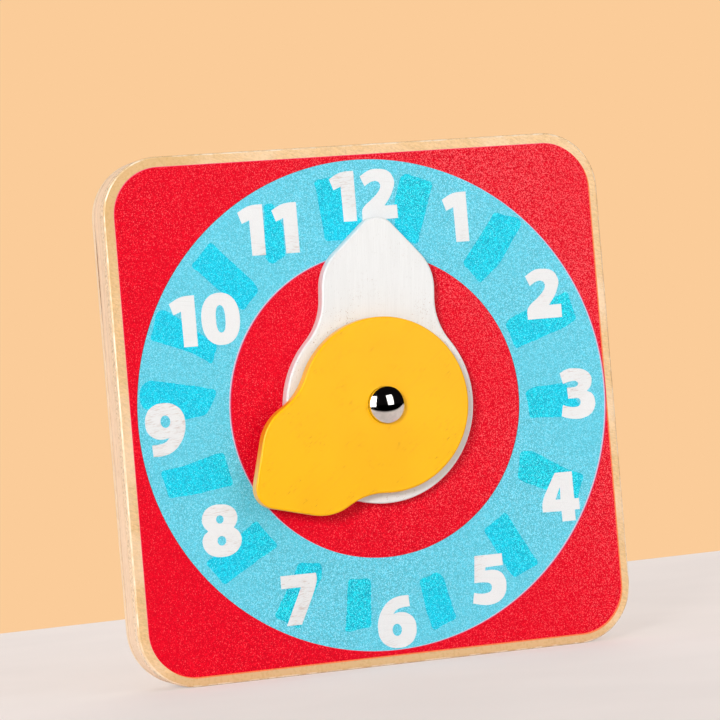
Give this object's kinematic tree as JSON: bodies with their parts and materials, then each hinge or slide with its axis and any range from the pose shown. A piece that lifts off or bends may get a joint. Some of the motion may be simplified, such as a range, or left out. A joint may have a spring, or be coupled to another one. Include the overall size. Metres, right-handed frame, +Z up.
{
  "type": "geared teaching clock",
  "caption": "Square wooden teaching clock with a numbered face and two broad hands that turn together through gears inside the case.",
  "frame": {"origin": "on the case's bottom edge, at the middle of its width and of its thickness", "axes": "+Z up, -Y out of the dial towards the reader, +X to the reader's right"},
  "size_m": [0.18, 0.0317, 0.1805],
  "materials": {
    "printed_ply": "birch plywood with a printed face, red and cyan inks, satin",
    "frame_wood": "bare light wood, fine sanded",
    "back_ply": "bare birch plywood, fine sanded",
    "white_ply": "plywood with white lacquer, matt",
    "yellow_ply": "plywood with yellow lacquer, satin",
    "dome_nickel": "polished nickel plate",
    "pin_steel": "turned steel",
    "spring_steel": "blued spring steel",
    "screw_steel": "zinc plate",
    "sleeve_brass": "turned brass",
    "bush_nylon": "natural nylon",
    "gear_nylon": "natural nylon",
    "washer_fibre": "vulcanised fibre"
  },
  "bodies": {
    "case": {"front_panel": "printed_ply", "spacer_frame": "frame_wood", "back_panel": "back_ply", "back_screws": "screw_steel", "front_bush": "bush_nylon", "rear_bush": "bush_nylon", "friction_spring": "spring_steel", "face_washer": "washer_fibre", "thrust_washer": "washer_fibre", "intermediate_post": "pin_steel", "intermediate_washer": "washer_fibre", "intermediate_clip": "spring_steel"},
    "minute_group": {"minute_hand": "white_ply", "minute_sleeve": "sleeve_brass", "minute_pinion": "gear_nylon"},
    "intermediate_group": {"intermediate_wheel": "gear_nylon", "intermediate_pinion": "gear_nylon"},
    "hour_group": {"hour_hand": "yellow_ply", "hour_shaft": "pin_steel", "hour_wheel": "gear_nylon", "hour_clip": "spring_steel", "hand_spacer": "pin_steel", "dome_nut": "dome_nickel"}
  },
  "joints": [
    {"name": "minute_turn", "type": "hinge", "parent": "case", "child": "minute_group", "pos_m": [0.0012, 0, 0.09], "axis": [0, 1, 0], "continuous": true},
    {"name": "intermediate_turn", "type": "hinge", "parent": "case", "child": "intermediate_group", "pos_m": [0.0012, 0, 0.0598], "axis": [0, 1, 0], "continuous": true},
    {"name": "hour_turn", "type": "hinge", "parent": "case", "child": "hour_group", "pos_m": [0.0012, 0, 0.09], "axis": [0, 1, 0], "continuous": true}
  ],
  "couplings": [
    {"joint": "intermediate_turn", "follows": "minute_turn", "ratio": -0.33333},
    {"joint": "hour_turn", "follows": "minute_turn", "ratio": 0.083333}
  ]
}
